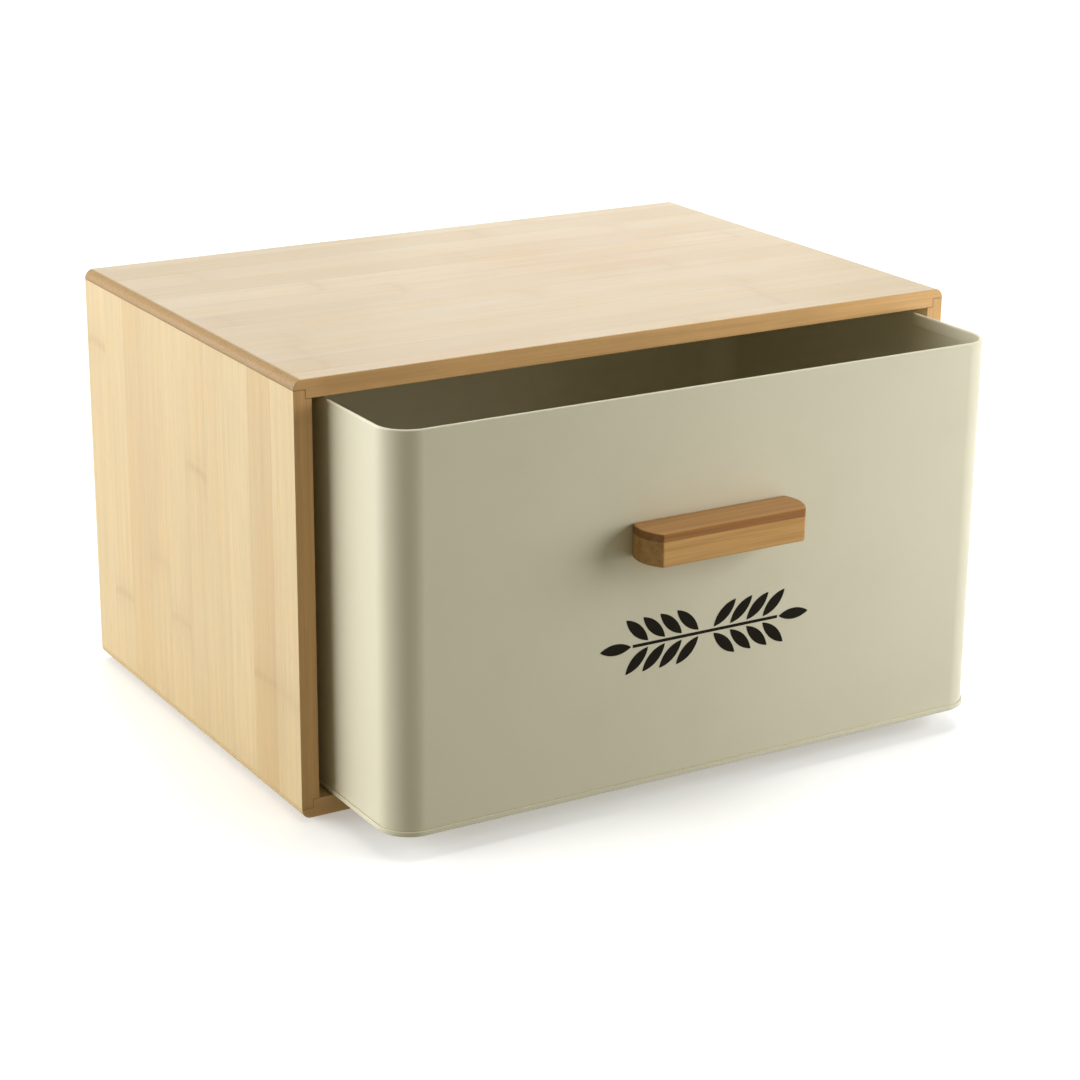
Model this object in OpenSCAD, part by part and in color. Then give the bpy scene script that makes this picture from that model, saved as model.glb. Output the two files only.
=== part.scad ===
// Bread bin: an open-fronted bamboo case with a sheet-steel drawer that slides out of the front.
// The origin is the centre of the case's footprint on the surface it stands on. The front faces -Y.

/* [Case] */
// Width of the case, left to right
case_w = 340; // [300:1:420]
// Depth of the case, front to back
case_d = 230; // [200:1:280]
// Height of the case's boards, without the feet
case_h = 198; // [170:1:260]
// Thickness of the top, bottom and side boards
board_t = 8.5; // [8:0.5:12]
// Thickness of the lip that laps over each side board
lip_t = 4.5; // [4:0.25:5]
// How far the lip reaches over the side board
lip_w = 5.5; // [4.5:0.5:6.5]
// Radius of the four long outer edges
edge_r = 4.5; // [1:0.25:4.5]

/* [Back panel] */
// Thickness of the back panel
back_t = 5; // [3:0.5:6]
// Distance from the case's rear edge to the back panel
back_inset = 6; // [4:0.5:8]
// Depth of the groove that holds the back panel
groove_depth = 4; // [2:0.5:5]

/* [Feet and buffers] */
// Height of the feet
foot_h = 2; // [1:0.5:4]
// Diameter of the feet
foot_d = 14; // [10:1:20]
// Distance from the case's outside to a foot's centre
foot_inset = 20; // [14:1:30]
// How far the rear buffers stand out of the back panel
buffer_h = 2.5; // [1.5:0.5:4]
// Diameter of the rear buffers
buffer_d = 10; // [8:1:14]

/* [Drawer] */
// How far the drawer stands out of the case as drawn
drawer_open = 58; // [0:1:170]
// Width of the drawer's wall
drawer_w = 310; // [270:1:313]
// Outer radius of the drawer's upright corners
corner_r = 15; // [8:1:30]
// Thickness of the sheet steel
sheet_t = 0.8; // [0.6:0.1:1]
// Height of the folded hem round the rim
hem_h = 6; // [4:1:10]
// Height of the seam that joins the base to the wall
seam_h = 2.4; // [2:0.1:4]
// Gap between the drawer's rim and the board above it
top_gap = 1.5; // [1:0.25:4]
// Gap between the seam and the board below it
floor_gap = 0.8; // [0.6:0.1:2]

/* [Handle] */
// Length of the handle
handle_l = 83; // [60:1:120]
// How far the handle stands out of the drawer
handle_d = 20; // [15:1:30]
// Height of the handle
handle_h = 15; // [12:1:25]
// Height of the handle's middle above the drawer's lowest edge
handle_z = 115.2; // [40:0.1:150]
// Radius of the handle's bowed ends
handle_end_r = 17; // [16:1:30]
// Distance between the two handle screws
screw_span = 48; // [32:1:60]

/* [Front motif] */
// Overall length of the printed wheat motif
motif_w = 110; // [100:1:130]
// Height of the motif's middle above the drawer's lowest edge
motif_z = 66; // [30:1:90]
// Length of one grain
grain_l = 16; // [12:0.5:18]
// Width of one grain
grain_w = 5.2; // [3:0.1:5.4]

/* [Hidden] */
$fn = 96;

bamboo = "burlywood";
bamboo_handle = "peru";
enamel = "cornsilk";
rubber = "gainsboro";
zinc = "silver";
ink = "black";

eps = 0.01;
case_y0 = -case_d / 2;
case_z0 = foot_h;
case_z1 = foot_h + case_h;
inner_w = case_w - 2 * board_t;
back_y0 = case_d / 2 - back_inset - back_t;
panel_fit = 0.2;

drawer_y0 = case_y0 - drawer_open;
drawer_z0 = case_z0 + board_t + floor_gap;
drawer_z1 = case_z1 - board_t - top_gap;
drawer_h = drawer_z1 - drawer_z0;
stop_gap = 0.5;
drawer_l = back_y0 - buffer_h - stop_gap - case_y0;
floor_z = seam_h - sheet_t;
glide_d = 18;
glide_clearance = 0.3;
glide_h = floor_z + floor_gap - glide_clearance;
glide_inset = 32;
buffer_z = case_z0 + case_h / 2;
buffer_x = case_w / 4;

handle_bow = 8;
screw_d = 3.5;
screw_l = 13;
screw_head_d = 7;
screw_head_h = 2.4;
recess_l = 4;
recess_w = 1;
recess_depth = 1.4;
wall_hole_d = 3.9;
pilot_depth = 14;
washer_d = 10;
washer_t = 1;
washer_hole_d = 3.9;

motif_t = 0.15;
stem_w = 1.4;
grain_pairs = 4;
grain_angle = 44;
stem_gap = 0.8;
ear_start = 4;
grain_step = (motif_w / 2 - grain_l - ear_start) / grain_pairs;

// ---- shared shapes ----

// End view of the case, x across and y up, with its four long edges rounded.
module case_outline() {
  flat_w = case_w - 2 * edge_r;
  flat_h = case_h - 2 * edge_r;
  union() {
    translate([-flat_w / 2, 0]) square([flat_w, case_h]);
    translate([-case_w / 2, edge_r]) square([case_w, flat_h]);
    for (x = [-1, 1], y = [edge_r, case_h - edge_r])
      translate([x * flat_w / 2, y]) circle(r = edge_r);
  }
}

// End view of the top board: full thickness between the rabbets, with a lip over each side board.
module top_section() {
  intersection() {
    case_outline();
    union() {
      translate([-case_w / 2, case_h - lip_t]) square([case_w, lip_t]);
      translate([-case_w / 2 + lip_w, case_h - board_t]) square([case_w - 2 * lip_w, board_t]);
    }
  }
}

// End view of the left side board, rabbeted at both ends to take the lips.
module side_section() {
  union() {
    translate([-case_w / 2, lip_t]) square([lip_w, case_h - 2 * lip_t]);
    translate([-case_w / 2, board_t]) square([board_t, case_h - 2 * board_t]);
  }
}

// Runs an end view along the depth of the case, standing on the feet.
module run_along_case() {
  translate([0, case_y0 + case_d, case_z0])
    rotate([90, 0, 0])
      linear_extrude(height = case_d) children();
}

// The back panel's blank, which every board is grooved to take.
module back_blank(fit) {
  w = inner_w + 2 * groove_depth - 2 * fit;
  h = case_h - 2 * board_t + 2 * groove_depth - 2 * fit;
  translate([-w / 2, back_y0, case_z0 + (case_h - h) / 2]) cube([w, back_t, h]);
}

// Plan of the drawer with its corners rounded, grown outwards (or shrunk) by the same amount all round.
module drawer_plan(grow) {
  w = drawer_w + 2 * grow;
  l = drawer_l + 2 * grow;
  r = corner_r + grow;
  translate([0, drawer_y0 + drawer_l / 2]) union() {
    square([w - 2 * r, l], center = true);
    square([w, l - 2 * r], center = true);
    for (x = [-1, 1], y = [-1, 1])
      translate([x * (w / 2 - r), y * (l / 2 - r)]) circle(r = r);
  }
}

// A prism of the drawer's plan between two heights above its lowest edge.
module drawer_prism(grow, z0, z1) {
  translate([0, 0, drawer_z0 + z0]) linear_extrude(height = z1 - z0) drawer_plan(grow);
}

// Places its children at both handle screws, with +Z pointing into the drawer.
module at_screws() {
  for (x = [-1, 1])
    translate([x * screw_span / 2, drawer_y0, drawer_z0 + handle_z]) rotate([-90, 0, 0]) children();
}

// ---- case ----

module case_top() {
  color(bamboo) difference() {
    run_along_case() top_section();
    back_blank(0);
  }
}

module case_bottom() {
  color(bamboo) difference() {
    run_along_case() translate([0, case_h]) mirror([0, 1]) top_section();
    back_blank(0);
  }
}

module case_side(side) {
  color(bamboo) difference() {
    run_along_case() mirror([side < 0 ? 0 : 1, 0]) side_section();
    back_blank(0);
  }
}

module case_side_left() { case_side(-1); }
module case_side_right() { case_side(1); }

module case_back() {
  color(bamboo) back_blank(panel_fit);
}

// A stick-on foot under one corner; x and y are -1 or 1.
module foot(x, y) {
  chamfer = 0.4;
  translate([x * (case_w / 2 - foot_inset), y * (case_d / 2 - foot_inset), 0])
    color(rubber) rotate_extrude() polygon([
      [0, 0], [foot_d / 2 - chamfer, 0], [foot_d / 2, chamfer], [foot_d / 2, foot_h], [0, foot_h]
    ]);
}

module foot_front_left() { foot(-1, -1); }
module foot_front_right() { foot(1, -1); }
module foot_back_left() { foot(-1, 1); }
module foot_back_right() { foot(1, 1); }

// A domed buffer on the back panel that stops the drawer when it is shut.
module buffer(side) {
  dome_r = (pow(buffer_d / 2, 2) + pow(buffer_h, 2)) / (2 * buffer_h);
  translate([side * buffer_x, back_y0, buffer_z]) rotate([90, 0, 0])
    color(rubber) intersection() {
      translate([0, 0, buffer_h - dome_r]) sphere(r = dome_r);
      cylinder(d = buffer_d + 2, h = buffer_h + 1);
    }
}

module buffer_left() { buffer(-1); }
module buffer_right() { buffer(1); }

// ---- drawer ----

// The wrapped wall: one sheet round all four sides, folded inwards into a hem at the rim.
module drawer_wall() {
  color(enamel) difference() {
    drawer_prism(0, sheet_t, drawer_h);
    drawer_prism(-sheet_t, 0, drawer_h - hem_h);
    drawer_prism(-2 * sheet_t, drawer_h - hem_h - 1, drawer_h + 1);
    at_screws() translate([0, 0, -1]) cylinder(d = wall_hole_d, h = sheet_t + 2);
  }
}

// The base: a sheet floor whose edge folds down, under the wall and up its outside.
module drawer_base() {
  color(enamel) difference() {
    drawer_prism(sheet_t, 0, seam_h);
    difference() {
      drawer_prism(0, sheet_t, seam_h + 1);
      drawer_prism(-sheet_t, sheet_t - 1, seam_h + 2);
    }
    drawer_prism(-2 * sheet_t, -1, floor_z);
  }
}

// A slippery pad under the drawer's floor that it slides on; x and y are -1 or 1.
module glide(x, y) {
  translate([
    x * (drawer_w / 2 - glide_inset),
    drawer_y0 + drawer_l / 2 + y * (drawer_l / 2 - glide_inset),
    drawer_z0 + floor_z - glide_h
  ]) color(rubber) cylinder(d = glide_d, h = glide_h);
}

module glide_front_left() { glide(-1, -1); }
module glide_front_right() { glide(1, -1); }
module glide_back_left() { glide(-1, 1); }
module glide_back_right() { glide(1, 1); }

// ---- handle ----

// Plan of the bar: flat against the drawer and along its front, with bowed ends.
module handle_plan() {
  end_x = handle_l / 2 - handle_end_r;
  intersection() {
    translate([-handle_l / 2, -handle_d]) square([handle_l, handle_d]);
    union() {
      translate([-end_x, -handle_d]) square([2 * end_x, handle_d]);
      for (x = [-1, 1]) translate([x * end_x, -handle_bow]) circle(r = handle_end_r);
    }
  }
}

module handle() {
  color(bamboo_handle) difference() {
    translate([0, drawer_y0, drawer_z0 + handle_z - handle_h / 2])
      linear_extrude(height = handle_h) handle_plan();
    at_screws() translate([0, 0, -pilot_depth]) cylinder(d = screw_d, h = pilot_depth + 1);
  }
}

// Pan-head screws driven from inside the drawer into the handle.
module handle_screws() {
  head_z = sheet_t + washer_t;
  head_r = screw_head_d / 2;
  crown_r = (head_r * head_r + screw_head_h * screw_head_h) / (2 * screw_head_h);
  color(zinc) at_screws() difference() {
    union() {
      translate([0, 0, head_z - screw_l]) cylinder(d = screw_d, h = screw_l + eps);
      intersection() {
        translate([0, 0, head_z + screw_head_h - crown_r]) sphere(r = crown_r);
        translate([0, 0, head_z]) cylinder(r = head_r + 1, h = screw_head_h + 1);
      }
    }
    for (turn = [0, 90]) rotate([0, 0, turn])
      translate([-recess_l / 2, -recess_w / 2, head_z + screw_head_h - recess_depth])
        cube([recess_l, recess_w, recess_depth + 1]);
  }
}

module handle_washers() {
  color(zinc) at_screws() translate([0, 0, sheet_t]) difference() {
    cylinder(d = washer_d, h = washer_t);
    translate([0, 0, -1]) cylinder(d = washer_hole_d, h = washer_t + 2);
  }
}

// ---- motif ----

// One grain with pointed ends, lying along +X from the origin.
module grain() {
  r = (grain_l * grain_l + grain_w * grain_w) / (4 * grain_w);
  translate([grain_l / 2, 0]) intersection() {
    translate([0, r - grain_w / 2]) circle(r = r);
    translate([0, grain_w / 2 - r]) circle(r = r);
  }
}

// An ear of wheat pointing along +X: pairs of grains and one at the tip, each clear of the stem.
module ear() {
  tip_x = motif_w / 2 - grain_l;
  for (i = [0 : grain_pairs - 1], side = [-1, 1])
    translate([ear_start + i * grain_step, side * (stem_w / 2 + stem_gap)])
      rotate(side * grain_angle) grain();
  translate([tip_x, 0]) grain();
  translate([-eps, -stem_w / 2]) square([tip_x - stem_gap, stem_w]);
}

// Two ears back to back, printed on the drawer's front.
module front_motif() {
  translate([0, drawer_y0, drawer_z0 + motif_z]) rotate([90, 0, 0])
    color(ink) linear_extrude(height = motif_t) {
      ear();
      mirror([1, 0]) ear();
    }
}

case_top();
case_bottom();
case_side_left();
case_side_right();
case_back();
foot_front_left();
foot_front_right();
foot_back_left();
foot_back_right();
buffer_left();
buffer_right();
drawer_wall();
drawer_base();
glide_front_left();
glide_front_right();
glide_back_left();
glide_back_right();
handle();
handle_screws();
handle_washers();
front_motif();
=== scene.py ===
"""The bread bin's looks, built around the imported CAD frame. Lengths are in metres."""
import math

import bmesh
import bpy
from mathutils import Matrix, Vector


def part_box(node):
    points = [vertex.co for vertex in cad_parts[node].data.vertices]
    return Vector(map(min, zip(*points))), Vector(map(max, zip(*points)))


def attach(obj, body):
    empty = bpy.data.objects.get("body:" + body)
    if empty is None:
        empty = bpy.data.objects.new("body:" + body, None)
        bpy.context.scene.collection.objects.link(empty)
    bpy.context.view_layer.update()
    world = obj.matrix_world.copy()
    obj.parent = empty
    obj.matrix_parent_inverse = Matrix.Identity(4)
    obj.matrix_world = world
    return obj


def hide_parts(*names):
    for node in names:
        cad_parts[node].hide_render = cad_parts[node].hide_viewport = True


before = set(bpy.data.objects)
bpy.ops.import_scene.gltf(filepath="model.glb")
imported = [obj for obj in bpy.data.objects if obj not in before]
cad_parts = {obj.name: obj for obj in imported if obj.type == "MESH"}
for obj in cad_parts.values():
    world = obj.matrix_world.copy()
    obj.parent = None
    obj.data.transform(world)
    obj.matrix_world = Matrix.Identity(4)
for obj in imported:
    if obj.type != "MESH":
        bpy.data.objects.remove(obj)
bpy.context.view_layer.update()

MM = 0.001

# ---- sizes that the boxes of the CAD nodes don't give, as in the part's source ----

LIP_T = 4.5 * MM          # thickness of the lip at each end of the top and bottom boards
LIP_W = 5.5 * MM          # reach of that lip over the side board
EDGE_R = 4.5 * MM         # round on the case's four long edges
GROOVE_FIT = 0.2 * MM     # play of the back panel in its groove
SHEET_T = 0.8 * MM        # drawer's sheet steel
HEM_H = 6 * MM            # folded hem at the rim
CORNER_R = 15 * MM        # drawer's upright corners
WALL_HOLE_D = 3.9 * MM    # holes in the wall for the handle's screws
HANDLE_BOW = 8 * MM       # how far the centres of the handle's end arcs stand off the drawer
HANDLE_END_R = 17 * MM
PILOT_DEPTH = 14 * MM     # how deep the screws' holes go into the handle
SCREW_SPAN = 48 * MM
SCREW_HEAD_D = 7 * MM
SCREW_HEAD_H = 2.4 * MM
SCREW_D = 3.5 * MM
RECESS_L = 4 * MM         # cross recess in a screw's head
RECESS_W = 1 * MM
RECESS_DEPTH = 1.4 * MM
WASHER_D = 10 * MM
WASHER_HOLE_D = 3.9 * MM
WASHER_T = 1 * MM
GRAIN_L = 16 * MM         # one grain of the printed wheat motif
GRAIN_W = 5.2 * MM
GRAIN_PAIRS = 4
GRAIN_ANGLE = math.radians(44)
STEM_W = 1.4 * MM
STEM_GAP = 0.8 * MM
EAR_START = 4 * MM

# ---- sizes of what only the looks have ----

SHARP_ANGLE = math.radians(35)  # edges sharper than this are eased
CUT_PAST = 1 * MM               # how far a cutting tool reaches past the face that it cuts
BOARD_EASE = 0.3 * MM
FOOT_ROUND = 0.4 * MM           # rounds on a foot's lower and upper rims
FOOT_EASE = 0.15 * MM
GLIDE_ROUND = 0.7 * MM
GLIDE_EASE = 0.1 * MM
HANDLE_EASE = 0.8 * MM
HANDLE_CORNER_R = 1.1 * MM      # round on the bar's upright corners
HANDLE_LAYER_T = 3.6 * MM       # the handle's dark top layer
GLUE_FADE = 0.3 * MM            # how far the glue line's shade reaches to each side of it
SCREW_EASE = 0.1 * MM
WASHER_EASE = 0.15 * MM
LAP_W = 4 * MM                  # run-up of the lapped weld at the back of the drawer's wall
LAP_RISE = 0.35 * MM
LAP_END = 0.25 * MM             # where the wall is flat again past the weld
SEAM_CLEAR = 1.5 * MM           # height above the seam at which the weld starts
TOP_STRIP_W = 21 * MM           # bamboo strips of the top and bottom boards
SIDE_STRIP_W = 23 * MM          # bamboo strips of the side boards and the back panel
NODE_PITCH = 235 * MM           # distance between the bamboo's nodes along a strip
FLOOR_REACH = 14                # half the studio floor's width

case_lo, case_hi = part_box("case_bottom")[0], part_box("case_top")[1]
board_t = case_hi.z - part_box("case_top")[0].z
wall_lo, wall_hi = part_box("drawer_wall")
base_lo, base_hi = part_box("drawer_base")
handle_lo, handle_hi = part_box("handle")
screw_z = (handle_lo.z + handle_hi.z) / 2
screw_places = [Vector((side * SCREW_SPAN / 2, wall_lo.y, screw_z)) for side in (-1, 1)]
drawer_mid_y = (wall_lo.y + wall_hi.y) / 2
lap_low_z = base_hi.z + SEAM_CLEAR


# ---- mesh helpers ----

def piece(name, bm, body, material, bevel=0.0, segments=2):
    """Turns a bmesh into a piece that rides on a body and stands for the CAD node of its name."""
    bmesh.ops.remove_doubles(bm, verts=bm.verts, dist=1e-7)
    bmesh.ops.recalc_face_normals(bm, faces=bm.faces)
    mesh = bpy.data.meshes.new(name)
    bm.to_mesh(mesh)
    bm.free()
    mesh.polygons.foreach_set("use_smooth", [True] * len(mesh.polygons))
    mesh.materials.append(material)
    obj = bpy.data.objects.new(name, mesh)
    bpy.context.scene.collection.objects.link(obj)
    if bevel:
        edge = obj.modifiers.new("eased_edges", "BEVEL")
        edge.width = bevel
        edge.segments = segments
        edge.limit_method = "ANGLE"
        edge.angle_limit = SHARP_ANGLE
    flat = obj.modifiers.new("flat_faces", "WEIGHTED_NORMAL")
    flat.weight = 80
    flat.keep_sharp = True
    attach(obj, body)
    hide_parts(name)


def arc(cx, cy, r, start, end, steps):
    """Points on a circle from one angle to another, in degrees, both ends included."""
    angles = [math.radians(start + (end - start) * i / steps) for i in range(steps + 1)]
    return [(cx + r * math.cos(a), cy + r * math.sin(a)) for a in angles]


def extrude(outline, place, depth):
    """A closed prism. place turns an outline's point into a corner, and depth leads to the far end."""
    bm = bmesh.new()
    near = [bm.verts.new(place(a, b)) for a, b in outline]
    far = [bm.verts.new(v.co + depth) for v in near]
    bm.faces.new(near)
    bm.faces.new(far)
    for i in range(len(near)):
        j = (i + 1) % len(near)
        bm.faces.new((near[i], near[j], far[j], far[i]))
    bmesh.ops.recalc_face_normals(bm, faces=bm.faces)
    return bm


def box_mesh(lo, hi):
    """A box between two corners."""
    outline = [(lo.x, lo.z), (hi.x, lo.z), (hi.x, hi.z), (lo.x, hi.z)]
    return extrude(outline, lambda x, z: Vector((x, lo.y, z)), Vector((0, hi.y - lo.y, 0)))


def cut(bm, tools):
    """The first mesh with the others cut out of it."""
    def loose(name, source):
        mesh = bpy.data.meshes.new(name)
        source.to_mesh(mesh)
        source.free()
        obj = bpy.data.objects.new(name, mesh)
        bpy.context.scene.collection.objects.link(obj)
        return obj

    body = loose("cut_body", bm)
    cutters = [loose("cut_tool", tool) for tool in tools]
    for cutter in cutters:
        change = body.modifiers.new("cut", "BOOLEAN")
        change.operation = "DIFFERENCE"
        change.solver = "EXACT"
        change.object = cutter
    bpy.context.view_layer.update()
    result = body.evaluated_get(bpy.context.evaluated_depsgraph_get()).to_mesh()
    made = bmesh.new()
    made.from_mesh(result)
    body.to_mesh_clear()
    for obj in [body] + cutters:
        mesh = obj.data
        bpy.data.objects.remove(obj)
        bpy.data.meshes.remove(mesh)
    return made


def lathe(profile, axis_point, axis, segments=64):
    """Turns a profile of (radius, height) points about an axis. A radius of 0 closes the end."""
    bm = bmesh.new()
    turn = Vector((0, 0, 1)).rotation_difference(Vector(axis)).to_matrix()
    rings = []
    for r, h in profile:
        count = segments if r > 1e-9 else 1
        angles = [2 * math.pi * i / segments for i in range(count)]
        corners = [Vector((r * math.cos(a), r * math.sin(a), h)) for a in angles]
        rings.append([bm.verts.new(axis_point + turn @ corner) for corner in corners])
    for one, two in zip(rings, rings[1:] + rings[:1]):
        for i in range(segments):
            j = (i + 1) % segments
            quad = [one[i % len(one)], one[j % len(one)], two[j % len(two)], two[i % len(two)]]
            face = list(dict.fromkeys(quad))
            if len(face) > 2:
                bm.faces.new(face)
    return bm


def rounded_disc(r, h, low, high, steps=6):
    """Profile of a disc from its underside up. low and high are its rims' rounds."""
    lower = arc(r - low, low, low, -90, 0, steps)
    upper = arc(r - high, h - high, high, 0, 90, steps)
    return [(0, 0), *lower, *upper, (0, h)]


def disc(name, body, material, low, high):
    """A flat round pad that fills its CAD node's box. low and high are its rims' rounds."""
    lo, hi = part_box(name)
    r = (hi.x - lo.x) / 2
    centre = Vector(((lo.x + hi.x) / 2, (lo.y + hi.y) / 2, lo.z))
    bm = lathe(rounded_disc(r, hi.z - lo.z, low, high), centre, (0, 0, 1), 96)
    piece(name, bm, body, material)


def dome(r, h, steps, base=0.0):
    """Profile of a shallow dome from its crown down to its rim, which stands at the height base."""
    ball_r = (r * r + h * h) / (2 * h)
    reach = math.degrees(math.asin(r / ball_r))
    return arc(0, base + h - ball_r, ball_r, 90, 90 - reach, steps)


def join(parts):
    """Several bmeshes as one."""
    whole = bmesh.new()
    for part in parts:
        mesh = bpy.data.meshes.new("part")
        part.to_mesh(mesh)
        part.free()
        whole.from_mesh(mesh)
        bpy.data.meshes.remove(mesh)
    return whole


# ---- node materials ----

X, Y, Z = 0, 1, 2
STRAW = (0.684, 0.515, 0.266)       # light and dark strips of the sides, bottom and back
HONEY = (0.605, 0.419, 0.187)
PALE = (0.610, 0.470, 0.272)        # light and dark strips of the top board
WHEAT = (0.530, 0.385, 0.196)
AMBER = (0.780, 0.462, 0.192)       # faces at the strips' sides
END_BROWN = (0.385, 0.235, 0.092)   # end grain
END_STRAW = (0.640, 0.450, 0.205)   # end grain of the bottom board
TOAST = (0.530, 0.335, 0.140)       # tan patches
NODE_BROWN = (0.440, 0.270, 0.110)  # node marks and dark dashes


class Shade:
    """A material under construction: each method adds a node and returns its output."""

    def __init__(self, name, roughness=0.5):
        self.material = bpy.data.materials.new(name)
        self.material.use_nodes = True
        self.nodes = self.material.node_tree.nodes
        self.links = self.material.node_tree.links
        self.nodes.clear()
        self.bsdf = self.nodes.new("ShaderNodeBsdfPrincipled")
        self.bsdf.inputs["Roughness"].default_value = roughness
        output = self.nodes.new("ShaderNodeOutputMaterial")
        self.links.new(self.bsdf.outputs["BSDF"], output.inputs["Surface"])
        self.where = self.nodes.new("ShaderNodeTexCoord")

    def feed(self, socket, value):
        """Links an output to a socket, or sets the socket's own value."""
        if isinstance(value, bpy.types.NodeSocket):
            self.links.new(value, socket)
        elif hasattr(value, "__len__") and len(value) == 3 and socket.type == "RGBA":
            socket.default_value = (*value, 1)
        else:
            socket.default_value = value

    def math(self, operation, a, b=0.0, c=0.0):
        """One step of arithmetic on numbers or outputs."""
        n = self.nodes.new("ShaderNodeMath")
        n.operation = operation
        for i, value in enumerate((a, b, c)):
            self.feed(n.inputs[i], value)
        return n.outputs[0]

    def axes(self, vector):
        """A vector's X, Y and Z."""
        n = self.nodes.new("ShaderNodeSeparateXYZ")
        self.feed(n.inputs[0], vector)
        return n.outputs[0], n.outputs[1], n.outputs[2]

    def vector(self, x, y, z):
        """A vector from three numbers."""
        n = self.nodes.new("ShaderNodeCombineXYZ")
        for i, value in enumerate((x, y, z)):
            self.feed(n.inputs[i], value)
        return n.outputs[0]

    def noise(self, vector, scale, detail=2.0, rough=0.5):
        """Soft noise, mostly between 0.3 and 0.7."""
        n = self.nodes.new("ShaderNodeTexNoise")
        self.feed(n.inputs["Vector"], vector)
        self.feed(n.inputs["Scale"], scale)
        self.feed(n.inputs["Detail"], detail)
        self.feed(n.inputs["Roughness"], rough)
        return n.outputs["Fac"]

    def random(self, value, salt=0.0):
        """One random number from 0 to 1 for each value. Another salt gives other numbers."""
        n = self.nodes.new("ShaderNodeTexWhiteNoise")
        n.noise_dimensions = "1D"
        self.feed(n.inputs["W"], self.math("ADD", value, salt))
        return n.outputs["Value"]

    def cells(self, vector, scale):
        """Distance to the nearest of a scatter of points."""
        n = self.nodes.new("ShaderNodeTexVoronoi")
        self.feed(n.inputs["Vector"], vector)
        self.feed(n.inputs["Scale"], scale)
        return n.outputs["Distance"]

    def span(self, value, low, high, to_low=0.0, to_high=1.0):
        """Value mapped smoothly from one range to another, and held at its ends."""
        n = self.nodes.new("ShaderNodeMapRange")
        n.interpolation_type = "SMOOTHSTEP"
        for socket, v in zip(list(n.inputs)[:5], (value, low, high, to_low, to_high)):
            self.feed(socket, v)
        return n.outputs[0]

    def mix(self, share, a, b):
        """From colour a, at a share of 0, to colour b, at 1."""
        n = self.nodes.new("ShaderNodeMix")
        n.data_type = "RGBA"
        self.feed(n.inputs["Factor"], share)
        self.feed(n.inputs[6], a)
        self.feed(n.inputs[7], b)
        return n.outputs[2]

    def scaled(self, colour, factor):
        """A colour times a number."""
        n = self.nodes.new("ShaderNodeVectorMath")
        n.operation = "SCALE"
        self.feed(n.inputs[0], colour)
        self.feed(n.inputs["Scale"], factor)
        return n.outputs[0]

    def bump(self, height, distance, strength, under=None):
        """Relief from a height, on top of an earlier bump if there is one."""
        n = self.nodes.new("ShaderNodeBump")
        self.feed(n.inputs["Height"], height)
        n.inputs["Distance"].default_value = distance
        n.inputs["Strength"].default_value = strength
        if under is not None:
            self.feed(n.inputs["Normal"], under)
        return n.outputs[0]

    def edges(self, low=0.80, high=0.97):
        """1 on eased edges and rounds, where the surface faces between the axes, and 0 on flat faces."""
        n = self.axes(self.where.outputs["Normal"])
        across = [self.math("ABSOLUTE", v) for v in n]
        most = self.math("MAXIMUM", self.math("MAXIMUM", across[0], across[1]), across[2])
        return self.span(most, low, high, 1.0, 0.0)

    def set(self, **values):
        """Fills the shader's sockets, such as set(Roughness=0.4)."""
        for name, value in values.items():
            self.feed(self.bsdf.inputs[name.replace("_", " ")], value)


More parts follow.
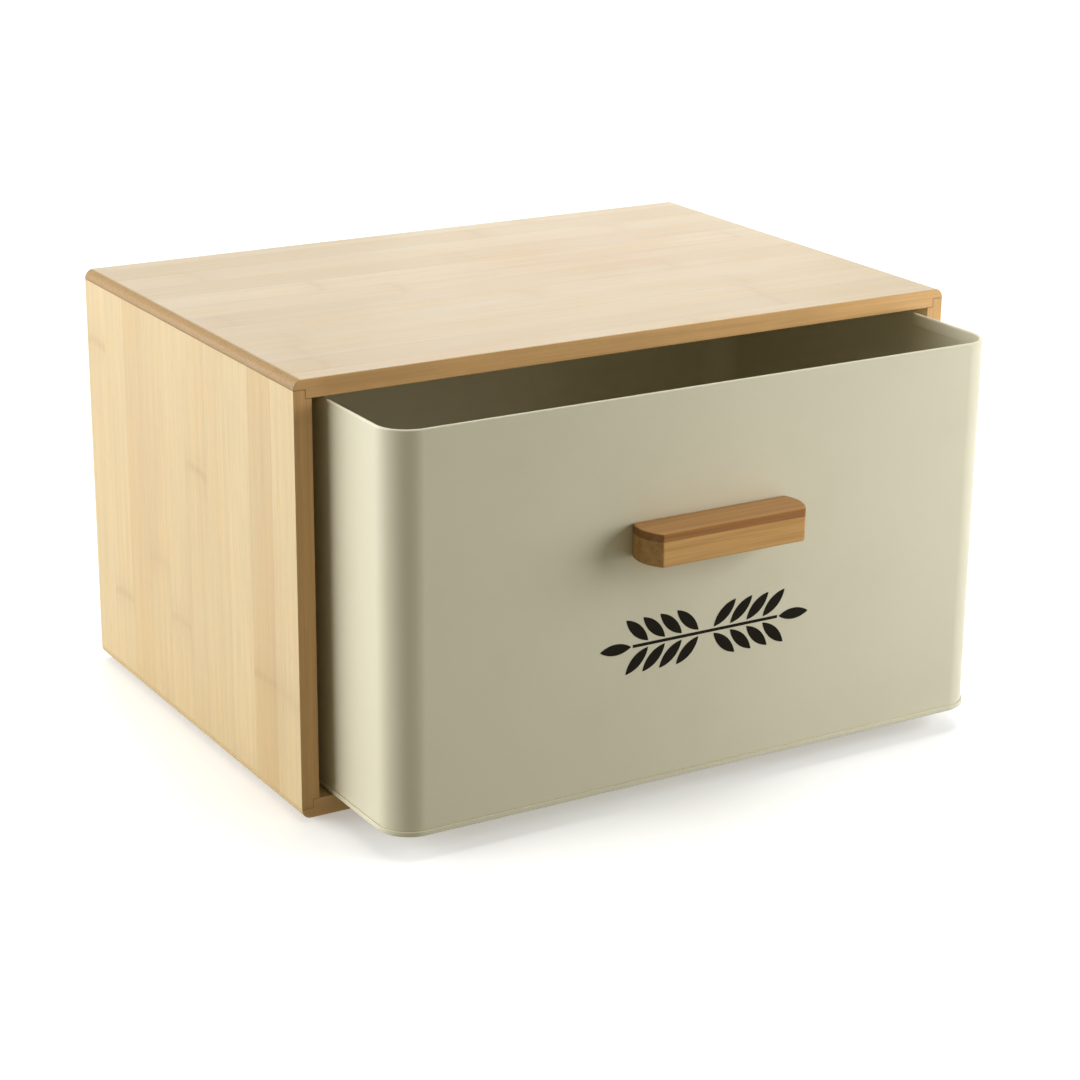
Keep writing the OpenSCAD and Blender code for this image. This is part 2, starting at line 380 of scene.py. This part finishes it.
def bamboo(name, along, across, light, dark, edge, end, strip_w, seed, mottle=0.04, patch=None):
    """Laminated bamboo: strips side by side, fine fibres along them, faint node marks across them.

    along and across are the axes that the strips run along and lie side by side on. light and dark
    are the strips' tones, edge is the tone of the faces at the strips' sides, and end the end grain.
    mottle is the depth of the soft blotches. patch is a toasted patch, as its place along and across
    the strips and its reach."""
    s = Shade(name)
    position = s.axes(s.where.outputs["Object"])
    normal = s.axes(s.where.outputs["Normal"])
    through = 3 - along - across
    u, v, w = position[along], position[across], position[through]

    def stretched(per_u, per_v, detail=2.0, rough=0.5):
        """Noise with its own scale along the fibres, and another one across them."""
        return s.noise(s.vector(s.math("MULTIPLY", u, per_u), s.math("MULTIPLY", v, per_v),
                                s.math("MULTIPLY_ADD", w, per_v, seed)), 1.0, detail, rough)

    row = s.math("DIVIDE", v, strip_w)
    index = s.math("ADD", s.math("FLOOR", row), seed)
    inside = s.math("FRACT", row)
    tone = s.random(index)
    shift = s.random(index, salt=57.3)

    at_side = s.span(s.math("ABSOLUTE", normal[across]), 0.55, 0.9)
    at_end = s.span(s.math("ABSOLUTE", normal[along]), 0.03, 0.40)
    on_face = s.math("SUBTRACT", 1.0, s.math("MAXIMUM", at_side, at_end))

    fibre = stretched(22, 1500, 3, 0.6)
    streak = stretched(5, 210, 3, 0.55)
    dash = stretched(110, 3200, 1)
    line = stretched(10, 560, 2, 0.5)
    cloud = stretched(20, 56, 4, 0.6)
    warmth = stretched(5, 20, 3, 0.5)

    share = s.math("MULTIPLY_ADD", streak, 0.45, s.math("MULTIPLY", cloud, 0.25))
    share = s.math("MULTIPLY_ADD", tone, 0.50, share)
    colour = s.mix(s.span(share, 0.25, 0.95), light, dark)
    toasted = s.span(warmth, 0.48, 0.70, 0.0, 0.25)
    if patch is not None:
        patch_u, patch_v, spread = patch
        du, dv = s.math("SUBTRACT", u, patch_u), s.math("SUBTRACT", v, patch_v)
        far = s.math("SQRT", s.math("ADD", s.math("MULTIPLY", du, s.math("MULTIPLY", du, 0.25)),
                                    s.math("MULTIPLY", dv, dv)))
        far = s.math("ADD", far, s.span(streak, 0.3, 0.7, -0.25 * spread, 0.25 * spread))
        toasted = s.math("MAXIMUM", toasted, s.span(far, 0.0, spread, 0.80, 0.0))
    colour = s.mix(toasted, colour, TOAST)

    # the culm's nodes: a soft band of short dark fibres across each strip, at its own place along it
    bow = s.math("MULTIPLY", s.math("POWER", s.math("SUBTRACT", inside, 0.5), 2.0), 0.006)
    ripple = s.math("MULTIPLY", s.math("SUBTRACT", stretched(3, 60, 1), 0.5), 0.006)
    beat = s.math("DIVIDE", s.math("ADD", u, s.math("ADD", bow, ripple)), NODE_PITCH)
    beat = s.math("FRACT", s.math("ADD", beat, shift))
    off = s.math("MULTIPLY", s.math("ABSOLUTE", s.math("SUBTRACT", beat, 0.5)), NODE_PITCH)
    ticks = s.span(stretched(70, 1100, 2), 0.35, 0.65, 0.3, 1.0)
    depth = s.span(s.random(index, salt=91.7), 0.0, 1.0, 0.35, 1.0)
    band = s.math("MULTIPLY", s.math("MULTIPLY", s.span(off, 0.0, 0.0036, 1.0, 0.0), ticks),
                  s.math("MULTIPLY", depth, on_face))
    halo = s.math("MULTIPLY", s.span(off, 0.0, 0.016, 1.0, 0.0), on_face)

    joint = s.span(s.math("MINIMUM", inside, s.math("SUBTRACT", 1.0, inside)), 0.0, 0.012, 1.0, 0.0)
    shade = s.math("MULTIPLY", s.span(fibre, 0.30, 0.70, 0.93, 1.05),
                   s.span(cloud, 0.34, 0.66, 1 - mottle, 1 + 0.4 * mottle))
    shade = s.math("MULTIPLY", shade, s.span(line, 0.32, 0.68, 0.965, 1.02))
    shade = s.math("MULTIPLY", shade, s.math("SUBTRACT", 1.0, s.math("MULTIPLY", joint, 0.09)))
    for mark, strength in ((s.span(dash, 0.58, 0.74), 0.30), (band, 0.42), (halo, 0.13)):
        colour = s.mix(s.math("MULTIPLY", mark, strength), colour, NODE_BROWN)

    colour = s.mix(at_side, colour, s.mix(s.span(streak, 0.35, 0.65), edge, s.scaled(edge, 0.90)))
    bundles = s.cells(s.vector(v, w, 0.0), 1050)
    end_grain = s.mix(s.span(bundles, 0.10, 0.42), s.scaled(end, 0.62), end)
    colour = s.mix(at_end, s.scaled(colour, shade), end_grain)
    # painted highlight: eased edges and rounds are made up to 8% lighter, where they catch the light
    colour = s.scaled(colour, s.math("MULTIPLY_ADD", s.edges(), 0.08, 1.0))

    rough = s.span(fibre, 0.3, 0.7, 0.39, 0.49)
    rough = s.math("ADD", rough, s.math("MULTIPLY", at_end, 0.28))
    rough = s.math("ADD", rough, s.span(cloud, 0.3, 0.7, -0.03, 0.05))
    relief = s.math("SUBTRACT", s.math("MULTIPLY", fibre, 0.6),
                    s.math("ADD", joint, s.math("MULTIPLY", band, 0.4)))
    s.set(Base_Color=colour, Roughness=rough, Normal=s.bump(relief, 0.00012, 0.5))
    s.set(Coat_Weight=0.12, Coat_Roughness=0.30, IOR=1.5, Specular_IOR_Level=0.45)
    return s.material


def powder_coat(name, colour):
    """Baked powder paint on sheet steel: faint orange peel, pin speckle and slight soiling."""
    s = Shade(name)
    at = s.where.outputs["Object"]
    peel = s.noise(at, 620, 2, 0.5)
    speck = s.noise(at, 5200, 1)
    drift = s.noise(at, 5, 2)
    smear = s.noise(at, 38, 4, 0.6)
    tone = s.math("ADD", s.span(drift, 0.3, 0.7, 0.975, 1.02), s.span(speck, 0.35, 0.65, -0.012, 0.012))
    tone = s.math("MULTIPLY", tone, s.span(smear, 0.50, 0.75, 1.0, 0.985))
    # painted highlight: the paint turns up to 10% paler, toward near-white, on rounded edges and the rim
    paint = s.mix(s.math("MULTIPLY", s.edges(0.75, 0.9), 0.10), colour, (0.92, 0.90, 0.84))
    rough = s.math("ADD", s.span(smear, 0.3, 0.7, 0.42, 0.50), s.span(speck, 0.3, 0.7, -0.02, 0.02))
    grain = s.bump(speck, 0.00001, 0.25)
    s.set(Base_Color=s.scaled(paint, tone), Roughness=rough, Normal=s.bump(peel, 0.00004, 0.30, grain))
    s.set(IOR=1.5, Coat_Weight=0.05, Coat_Roughness=0.25)
    return s.material


def printed_ink(name, colour):
    """Screen-printed enamel: dense, with slight thin spots."""
    s = Shade(name)
    at = s.where.outputs["Object"]
    thin = s.noise(at, 900, 3, 0.6)
    patch = s.noise(at, 60, 2)
    tone = s.math("ADD", s.span(thin, 0.55, 0.8, 0.9, 1.5), s.span(patch, 0.3, 0.7, -0.1, 0.15))
    s.set(Base_Color=s.scaled(colour, tone), Roughness=s.span(thin, 0.3, 0.7, 0.68, 0.82))
    s.set(Normal=s.bump(thin, 0.00002, 0.3), IOR=1.48, Specular_IOR_Level=0.12)
    return s.material


def moulded(name, colour, roughness, grain=900, subsurface=0.0):
    """Moulded rubber or plastic: a fine matt skin with dust in it."""
    s = Shade(name)
    at = s.where.outputs["Object"]
    skin = s.noise(at, grain, 3, 0.6)
    dust = s.noise(at, 130, 3, 0.6)
    tone = s.math("ADD", s.span(skin, 0.3, 0.7, 0.93, 1.05), s.span(dust, 0.55, 0.8, 0.0, 0.12))
    s.set(Base_Color=s.scaled(colour, tone))
    s.set(Roughness=s.span(dust, 0.3, 0.7, roughness - 0.05, roughness + 0.08))
    s.set(Normal=s.bump(skin, 0.00003, 0.35), Subsurface_Weight=subsurface)
    s.bsdf.inputs["Subsurface Radius"].default_value = (0.004, 0.004, 0.0035)
    return s.material


def plated(name, colour):
    """Zinc plate: metal with turned lines, grey bloom and small rubs."""
    s = Shade(name)
    at = s.where.outputs["Object"]
    bloom = s.noise(at, 420, 4, 0.6)
    line = s.noise(s.vector(*[s.math("MULTIPLY", a, k) for a, k in
                              zip(s.axes(at), (500, 9000, 500))]), 1.0, 2)
    tone = s.math("ADD", s.span(bloom, 0.35, 0.7, 0.82, 1.05), s.span(line, 0.3, 0.7, -0.04, 0.04))
    s.set(Base_Color=s.scaled(colour, tone), Metallic=1.0)
    s.set(Roughness=s.span(bloom, 0.3, 0.7, 0.26, 0.42), Normal=s.bump(line, 0.00002, 0.3))
    return s.material


def handle_bamboo(name):
    """Carbonised bamboo for the handle: a dark layer on top of a lighter, amber one."""
    s = Shade(name)
    x, y, z = s.axes(s.where.outputs["Object"])
    normal = s.axes(s.where.outputs["Normal"])

    def stretched(per_x, per_yz, rough):
        """Noise with its own scale along the bar, and another one across it."""
        return s.noise(s.vector(s.math("MULTIPLY", x, per_x), s.math("MULTIPLY", y, per_yz),
                                s.math("MULTIPLY", z, per_yz)), 1.0, 3, rough)

    fibre = stretched(26, 1300, 0.6)
    streak = stretched(7, 300, 0.55)
    band = s.span(streak, 0.32, 0.68)
    wave = s.math("MULTIPLY", s.math("SUBTRACT", s.noise(s.vector(x, 0.0, 0.0), 40, 1), 0.5), 0.6 * MM)
    layer_z = handle_hi.z - HANDLE_LAYER_T
    layer = s.span(s.math("ADD", z, wave), layer_z - 0.2 * MM, layer_z + 0.2 * MM)
    amber = s.mix(band, (0.690, 0.392, 0.136), (0.565, 0.300, 0.092))
    brown = s.mix(band, (0.400, 0.178, 0.044), (0.305, 0.120, 0.026))
    crown = s.mix(s.span(streak, 0.3, 0.7), (0.490, 0.258, 0.088), (0.395, 0.190, 0.058))
    brown = s.mix(s.span(normal[2], 0.5, 0.95), brown, crown)
    colour = s.mix(layer, amber, brown)
    bundles = s.cells(s.vector(y, z, 0.0), 950)
    at_end = s.span(s.math("ABSOLUTE", normal[0]), 0.45, 0.8)
    end_grain = s.mix(s.span(bundles, 0.08, 0.42), s.scaled(colour, 0.48), s.scaled(colour, 0.74))
    colour = s.mix(at_end, s.scaled(colour, s.span(fibre, 0.3, 0.7, 0.88, 1.08)), end_grain)
    glue = s.span(s.math("ABSOLUTE", s.math("SUBTRACT", z, layer_z)), 0.0, GLUE_FADE, 0.75, 1.0)
    colour = s.scaled(colour, glue)
    rough = s.math("ADD", s.span(fibre, 0.3, 0.7, 0.40, 0.50), s.math("MULTIPLY", at_end, 0.12))
    s.set(Base_Color=colour, Roughness=rough, Normal=s.bump(fibre, 0.0001, 0.5))
    s.set(Coat_Weight=0.05, Coat_Roughness=0.3, IOR=1.5, Specular_IOR_Level=0.35)
    return s.material


top_bamboo = bamboo("bamboo_top", X, Y, PALE, WHEAT, AMBER, END_BROWN, TOP_STRIP_W, seed=11,
                    mottle=0.07, patch=(60 * MM, 25 * MM, 70 * MM))
bottom_bamboo = bamboo("bamboo_bottom", X, Y, STRAW, HONEY, AMBER, END_STRAW, TOP_STRIP_W, seed=43)
side_bamboo = bamboo("bamboo_side", Z, Y, STRAW, HONEY, AMBER, END_BROWN, SIDE_STRIP_W, seed=23)
back_bamboo = bamboo("bamboo_back", X, Z, STRAW, HONEY, AMBER, END_BROWN, SIDE_STRIP_W, seed=71)
cream = powder_coat("cream_powder_coat", (0.750, 0.700, 0.525))
ink = printed_ink("black_ink", (0.015, 0.012, 0.008))
foot_rubber = moulded("foot_rubber", (0.30, 0.29, 0.27), 0.62)
buffer_pu = moulded("buffer_polyurethane", (0.74, 0.73, 0.68), 0.30, grain=300, subsurface=0.6)
glide_plastic = moulded("glide_plastic", (0.78, 0.78, 0.75), 0.42, grain=700)
zinc = plated("zinc_plate", (0.66, 0.67, 0.66))
handle_wood = handle_bamboo("bamboo_handle")


# ---- case ----

def top_outline():
    """End view of the top board, with its rounded lips over the side boards."""
    w, z1 = case_hi.x, case_hi.z
    right = arc(w - EDGE_R, z1 - EDGE_R, EDGE_R, 0, 90, 14)
    half = [(w - LIP_W, z1 - board_t), (w - LIP_W, z1 - LIP_T), *right]
    return half + [(-x, z) for x, z in reversed(half)]


def side_outline(side):
    """End view of a side board, rabbeted at both ends. side is -1 for left and 1 for right."""
    outer, inner, step = case_hi.x, case_hi.x - board_t, case_hi.x - LIP_W
    z0, z1 = case_lo.z, case_hi.z
    half = [(outer, z1 - LIP_T), (step, z1 - LIP_T), (step, z1 - board_t), (inner, z1 - board_t)]
    return [(side * x, z) for x, z in half + [(x, z0 + z1 - z) for x, z in reversed(half)]]


def grooved_board(name, outline, material, flipped=False):
    """A board along the case's depth, with a groove for the back panel. flipped turns it upside down."""
    depth = Vector((0, case_hi.y - case_lo.y, 0))
    bm = extrude(outline, lambda x, z: Vector((x, case_lo.y, z)), depth)
    lo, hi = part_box("case_back")
    fit = Vector((GROOVE_FIT, 0, GROOVE_FIT))
    bm = cut(bm, [box_mesh(lo - fit, hi + fit)])
    bmesh.ops.remove_doubles(bm, verts=bm.verts, dist=1e-6)
    bmesh.ops.dissolve_limit(bm, angle_limit=math.radians(1), verts=bm.verts, edges=bm.edges)
    if flipped:
        for vert in bm.verts:
            vert.co.z = case_lo.z + case_hi.z - vert.co.z
    piece(name, bm, "case", material, BOARD_EASE)


grooved_board("case_top", top_outline(), top_bamboo)
grooved_board("case_bottom", top_outline(), bottom_bamboo, flipped=True)
grooved_board("case_side_left", side_outline(-1), side_bamboo)
grooved_board("case_side_right", side_outline(1), side_bamboo)

back_lo, back_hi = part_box("case_back")
piece("case_back", box_mesh(back_lo, back_hi), "case", back_bamboo, BOARD_EASE)

for end in ("front_left", "front_right", "back_left", "back_right"):
    disc("foot_" + end, "case", foot_rubber, FOOT_ROUND, FOOT_EASE)
    disc("glide_" + end, "drawer", glide_plastic, GLIDE_ROUND, GLIDE_EASE)

for side in ("left", "right"):
    lo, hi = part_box("buffer_" + side)
    r, h = (hi.x - lo.x) / 2, hi.y - lo.y
    foot_point = Vector(((lo.x + hi.x) / 2, hi.y, (lo.z + hi.z) / 2))
    bm = lathe([*dome(r, h, 16), (0, 0)], foot_point, (0, -1, 0))
    piece("buffer_" + side, bm, "case", buffer_pu)


# ---- drawer ----

def drawer_path(steps=20):
    """Points and outward normals round the drawer's plan, starting at the middle of the back."""
    x, y = wall_hi.x - CORNER_R, (wall_hi.y - wall_lo.y) / 2 - CORNER_R
    path = []
    for cx, cy, start in ((-x, y, 90), (-x, -y, 180), (x, -y, 270), (x, y, 0)):
        for nx, ny in arc(0, 0, 1, start, start + 90, steps):
            point = Vector((cx + CORNER_R * nx, drawer_mid_y + cy + CORNER_R * ny, 0))
            path.append((point, Vector((nx, ny, 0))))
    return path


def sweep(profile, path, closed=True, shift=None):
    """Carries a profile of (outward, height) points round a closed path.

    An open profile gets a lid at each end. shift gives an extra outward step at a point and height."""
    bm = bmesh.new()
    rings = []
    for point, normal in path:
        ring = []
        for out, z in profile:
            extra = shift(point, z) if shift else 0.0
            ring.append(bm.verts.new(point + normal * (out + extra) + Vector((0, 0, z))))
        rings.append(ring)
    count = len(profile) if closed else len(profile) - 1
    for i, ring in enumerate(rings):
        after = rings[(i + 1) % len(rings)]
        for j in range(count):
            k = (j + 1) % len(profile)
            bm.faces.new((ring[j], ring[k], after[k], after[j]))
    if not closed:
        bm.faces.new([ring[0] for ring in rings])
        bm.faces.new([ring[-1] for ring in rings])
    return bm


def lap(point, z):
    """The lapped weld that closes the wall's sheet in the middle of the back, above the seam."""
    on_weld = -LAP_W <= point.x < LAP_END / 2 and point.y > drawer_mid_y and z >= lap_low_z
    return LAP_RISE * (point.x + LAP_W) / LAP_W if on_weld else 0.0


def wall_profile():
    """Section of the wall's sheet, with the hem folded inwards at the rim."""
    low, top = wall_lo.z, wall_hi.z
    hem_end = top - HEM_H
    rim = arc(-SHEET_T, top - SHEET_T, SHEET_T, 0, 180, 12)
    hem_x, round_w, round_h = -2 * SHEET_T, 0.35 * MM, 0.3 * MM
    hem = [(hem_x, hem_end + round_h), (hem_x + 0.1 * MM, hem_end + 0.08 * MM), (hem_x + round_w, hem_end)]
    inside = [(-SHEET_T, hem_end), (-SHEET_T, lap_low_z), (-SHEET_T, low)]
    return [(0, low), (0, lap_low_z), *rim, *hem, *inside]


def base_profile():
    """Section of the base, from the edge of its floor out under the wall and round the seam."""
    low, top = base_lo.z, base_hi.z
    floor_edge, web_z, floor_low = -5 * MM, low + SHEET_T, top - SHEET_T
    ease, upper_r, lower_r = 0.25 * MM, 0.35 * MM, 0.7 * MM
    floor = [(floor_edge, top), (-SHEET_T - ease, top), (-SHEET_T - 0.06 * MM, top - 0.07 * MM)]
    channel = [(-SHEET_T, top - ease), (-SHEET_T, web_z), (0, web_z), (0, top - 0.12 * MM)]
    seam = arc(SHEET_T - upper_r, top - upper_r, upper_r, 90, 0, 5)
    seam += arc(SHEET_T - lower_r, low + lower_r, lower_r, 0, -90, 8)
    under = [(-2 * SHEET_T, low), (-2 * SHEET_T, floor_low), (floor_edge, floor_low)]
    return [*floor, *channel, *seam, *under]


def screw_holes(r, low, high):
    """A cylinder on each of the handle's screws, between two depths behind the wall's outer face."""
    profile = [(0, low), (r, low), (r, high), (0, high)]
    return [lathe(profile, place, (0, 1, 0), 48) for place in screw_places]


plan = drawer_path()
weld = [(Vector((x, wall_hi.y, 0)), Vector((0, 1, 0))) for x in (LAP_END, 0, -LAP_W / 2, -LAP_W)]
wall = sweep(wall_profile(), weld + plan, shift=lap)
wall = cut(wall, screw_holes(WALL_HOLE_D / 2, -CUT_PAST, SHEET_T + CUT_PAST))
piece("drawer_wall", wall, "drawer", cream)
base = sweep(base_profile(), plan, closed=False)
piece("drawer_base", base, "drawer", cream)


# ---- handle and its fastenings ----

def handle_outline():
    """Plan of the bar, from the drawer's face round its front and back."""
    front, back = handle_lo.y, handle_hi.y
    cx, cy = handle_hi.x - HANDLE_END_R, back - HANDLE_BOW

    def fillet(y):
        """Centre of a corner's round, and the angle at which that round runs into the end arc."""
        x = cx + math.sqrt((HANDLE_END_R - HANDLE_CORNER_R) ** 2 - (y - cy) ** 2)
        return x, y, math.degrees(math.atan2(y - cy, x - cx))

    x0, y0, start = fillet(front + HANDLE_CORNER_R)
    x1, y1, end = fillet(back - HANDLE_CORNER_R)
    right = arc(x0, y0, HANDLE_CORNER_R, -90, start, 5)
    right += arc(cx, cy, HANDLE_END_R, start, end, 24)[1:-1]
    right += arc(x1, y1, HANDLE_CORNER_R, end, 90, 7)
    return right + [(-x, y) for x, y in reversed(right)]


bar = extrude(handle_outline(), lambda x, y: Vector((x, y, handle_lo.z)),
              Vector((0, 0, handle_hi.z - handle_lo.z)))
pilots = screw_holes(SCREW_D / 2, -PILOT_DEPTH, CUT_PAST)
piece("handle", cut(bar, pilots), "drawer", handle_wood, HANDLE_EASE, segments=3)


def pan_head_screw(place):
    """A screw driven along -Y, with a domed head and a cross recess. place is on the wall's outer face."""
    head_z, tip = SHEET_T + WASHER_T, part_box("handle_screws")[0].y - wall_lo.y
    shank_r, point = SCREW_D / 2, 0.4 * MM
    shank = [(shank_r, head_z), (shank_r, tip + point), (shank_r - point, tip), (0, tip)]
    head = dome(SCREW_HEAD_D / 2, SCREW_HEAD_H, 14, head_z)
    top_y = place.y + head_z + SCREW_HEAD_H
    recess = [box_mesh(Vector((place.x - a, top_y - RECESS_DEPTH, place.z - b)),
                       Vector((place.x + a, top_y + CUT_PAST, place.z + b)))
              for a, b in ((RECESS_L / 2, RECESS_W / 2), (RECESS_W / 2, RECESS_L / 2))]
    return cut(lathe([*head, *shank], place, (0, 1, 0)), recess)


def washer(place):
    """A flat washer with eased rims, on the wall's inner face."""
    inner, outer, ease = WASHER_HOLE_D / 2, WASHER_D / 2, WASHER_EASE
    low, high = SHEET_T, SHEET_T + WASHER_T
    ring = [(inner + ease, low), (outer - ease, low), (outer, low + ease), (outer, high - ease),
            (outer - ease, high), (inner + ease, high), (inner, high - ease), (inner, low + ease)]
    return lathe(ring, place, (0, 1, 0), 72)


screws = join([pan_head_screw(place) for place in screw_places])
washers = join([washer(place) for place in screw_places])
piece("handle_screws", screws, "drawer", zinc, SCREW_EASE)
piece("handle_washers", washers, "drawer", zinc)


# ---- printed motif ----

def grain_outline(steps=18):
    """A lens with pointed ends, lying along +X from the origin."""
    r = (GRAIN_L ** 2 + GRAIN_W ** 2) / (4 * GRAIN_W)
    half = math.degrees(math.asin(GRAIN_L / 2 / r))
    lower = arc(GRAIN_L / 2, r - GRAIN_W / 2, r, 270 - half, 270 + half, steps)
    upper = arc(GRAIN_L / 2, GRAIN_W / 2 - r, r, 90 - half, 90 + half, steps)
    return lower + upper[1:-1]


motif_lo, motif_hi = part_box("front_motif")
motif_mid = Vector((0, motif_hi.y, (motif_lo.z + motif_hi.z) / 2))
ink_depth = Vector((0, (motif_lo.y - motif_hi.y) * 0.6, 0))
tip_x = motif_hi.x - GRAIN_L
step_x = (tip_x - EAR_START) / GRAIN_PAIRS


def printed(outline, turn=0.0, x=0.0, z=0.0, mirror=1):
    """One shape of the print, turned about its start, moved to its place and mirrored to its ear."""
    c, s = math.cos(turn), math.sin(turn)

    def place(a, b):
        return motif_mid + Vector((mirror * (x + a * c - b * s), 0, z + a * s + b * c))

    return extrude(outline, place, ink_depth)


shapes = []
for mirror in (-1, 1):
    for i in range(GRAIN_PAIRS):
        for side in (-1, 1):
            shapes.append(printed(grain_outline(), side * GRAIN_ANGLE, EAR_START + i * step_x,
                                  side * (STEM_W / 2 + STEM_GAP), mirror))
    shapes.append(printed(grain_outline(), 0, tip_x, 0, mirror))
stem_x, stem_z = tip_x - STEM_GAP, STEM_W / 2
shapes.append(printed([(-stem_x, -stem_z), (stem_x, -stem_z), (stem_x, stem_z), (-stem_x, stem_z)]))
piece("front_motif", join(shapes), "drawer", ink)


# ---- floor, lights and camera ----

def floor_material():
    """A white ground that glows faintly."""
    s = Shade("studio_floor", 0.7)
    cloud = s.noise(s.where.outputs["Object"], 3, 2)
    s.set(Base_Color=s.scaled((0.95, 0.95, 0.95), s.span(cloud, 0.3, 0.7, 0.995, 1.0)))
    s.set(Emission_Color=(1, 1, 1), Emission_Strength=0.3)
    return s.material


floor_mesh = bpy.data.meshes.new("floor")
floor_corners = [(FLOOR_REACH * x, FLOOR_REACH * y, 0) for x, y in ((-1, -1), (1, -1), (1, 1), (-1, 1))]
floor_mesh.from_pydata(floor_corners, [], [(0, 1, 2, 3)])
floor_mesh.materials.append(floor_material())
floor = bpy.data.objects.new("floor", floor_mesh)
bpy.context.scene.collection.objects.link(floor)
floor.visible_diffuse = False


def softbox(name, place, target, width, height, power, colour=(1, 1, 1), mirrored=True):
    """A rectangular area light that faces a target. mirrored says whether glossy surfaces show it."""
    data = bpy.data.lights.new(name, "AREA")
    data.shape = "RECTANGLE"
    data.size, data.size_y = width, height
    data.energy = power
    data.color = colour
    lamp = bpy.data.objects.new(name, data)
    bpy.context.scene.collection.objects.link(lamp)
    lamp.location = place
    lamp.visible_camera = False
    lamp.visible_glossy = mirrored
    lamp.rotation_euler = (Vector(target) - Vector(place)).to_track_quat("-Z", "Y").to_euler()


softbox("key_left", (-1.65, 1.00, 0.55), (0, 0, 0.10), 2.3, 0.8, 49.5, (0.955, 0.972, 1.0))
softbox("fill_right", (0.61, -0.57, 0.29), (0.11, -0.17, 0.12), 0.50, 0.50, 5.3, (0.91, 0.945, 1.0),
        mirrored=False)
softbox("top", (0.1, -0.12, 2.2), (0, 0, 0), 1.0, 1.0, 16.5)
softbox("backdrop", (1.65, 2.75, 1.1), (0, 0, 0.2), 4.0, 2.2, 40, (0.95, 0.97, 1.0))
softbox("floor_wash", (1.6, 3.2, 3.0), (1.2, 2.4, 0), 2.6, 2.6, 60)
softbox("rim_back", (0.32, 0.42, 0.30), (0.10, 0.09, 0.20), 0.30, 0.14, 0.09)

world = bpy.data.worlds.new("studio")
world.use_nodes = True
sky = world.node_tree.nodes["Background"]
sky.inputs["Color"].default_value = (1.0, 0.93, 0.64, 1)
sky.inputs["Strength"].default_value = 0.19
bpy.context.scene.world = world
bpy.context.scene.view_settings.view_transform = "Standard"

camera_data = bpy.data.cameras.new("camera")
camera_data.lens = 90.0
camera_data.sensor_width = 36.0
camera_data.clip_start = 0.05
camera = bpy.data.objects.new("camera", camera_data)
eye = (-0.63307, -1.08889, 0.49689)
yaw, pitch, roll = 0.5389, 0.3279, 0.0090
ahead = Vector((math.sin(yaw) * math.cos(pitch), math.cos(yaw) * math.cos(pitch), -math.sin(pitch)))
level = Vector((math.cos(yaw), -math.sin(yaw), 0))
upright = level.cross(ahead)
right = math.cos(roll) * level + math.sin(roll) * upright
up = math.cos(roll) * upright - math.sin(roll) * level
turned = Matrix((right, up, -ahead)).transposed().to_4x4()
camera.matrix_world = Matrix.Translation(eye) @ turned
bpy.context.scene.collection.objects.link(camera)
bpy.context.scene.camera = camera
